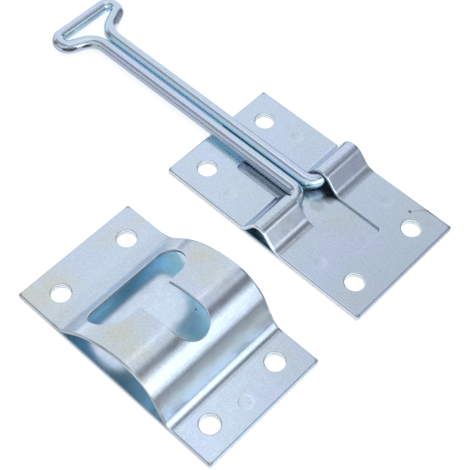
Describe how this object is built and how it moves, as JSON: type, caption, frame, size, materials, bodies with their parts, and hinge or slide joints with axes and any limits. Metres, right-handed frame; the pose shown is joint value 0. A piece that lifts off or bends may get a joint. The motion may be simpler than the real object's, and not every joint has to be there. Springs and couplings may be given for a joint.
{
  "type": "tee hook door holder",
  "caption": "Two-part door holder: a bent-wire tee hook swings on one screw plate, and a domed keeper plate with a T-shaped slot traps its head.",
  "frame": {"origin": "middle of the hook half's back face, between its four screw holes", "axes": "+Z out of the mounting surface, X along the length of both plates with the hook lying along -X at rest, Y across the plates with the keeper half towards -Y"},
  "size_m": [0.1655, 0.1224, 0.0205],
  "materials": {
    "zinc_back_sheet": "clear blue zinc plating on cold-rolled steel sheet, satin",
    "zinc_pressed_sheet": "clear blue zinc plating on pressed steel sheet, satin to bright on the bends",
    "zinc_wire": "clear blue zinc plating on drawn steel wire, bright"
  },
  "bodies": {
    "hook_base": {"hook_back_plate": "zinc_back_sheet", "hook_front_plate": "zinc_pressed_sheet"},
    "swing_hook": {"tee_hook": "zinc_wire"},
    "keeper": {"keeper_back_plate": "zinc_back_sheet", "keeper_front_plate": "zinc_pressed_sheet"}
  },
  "joints": [
    {"name": "hook_swing", "type": "hinge", "parent": "hook_base", "child": "swing_hook", "pos_m": [-0.0011, 0.0008, 0.0051], "axis": [0, 1, 0], "range_deg": [0, 180]},
    {"name": "keeper_apart", "type": "slide", "parent": "hook_base", "child": "keeper", "axis": [0, -1, 0], "range_m": [0, 0.05]}
  ]
}
